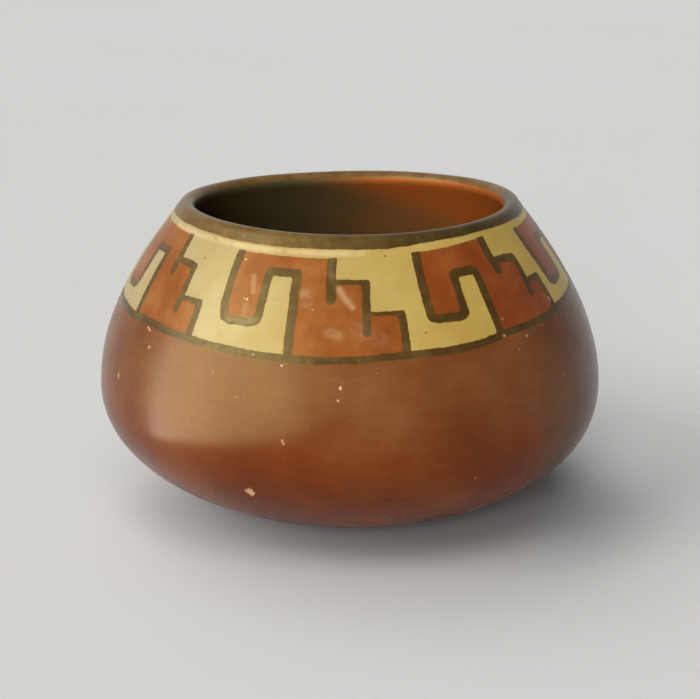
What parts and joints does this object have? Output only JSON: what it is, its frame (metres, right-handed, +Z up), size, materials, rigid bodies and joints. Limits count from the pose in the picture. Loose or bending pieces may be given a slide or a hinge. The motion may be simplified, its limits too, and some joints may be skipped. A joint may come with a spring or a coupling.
{
  "type": "ceramic bowl",
  "caption": "Small hand-built earthenware bowl with a low round belly, a wide mouth, a burnished red-brown slip and a painted step-fret band.",
  "frame": {"origin": "on the ground, under the middle of the widest ring", "axes": "+Z up out of the mouth; -Y towards the side with the best-kept painting; +X to the right seen from that side"},
  "size_m": [0.14, 0.14, 0.0873],
  "materials": {
    "painted_earthenware": "burnished red-brown slip with a painted band of cream, orange and dark olive-brown, satin, worn, with small chips"
  },
  "bodies": {
    "root": {"bowl": "painted_earthenware"}
  },
  "joints": []
}
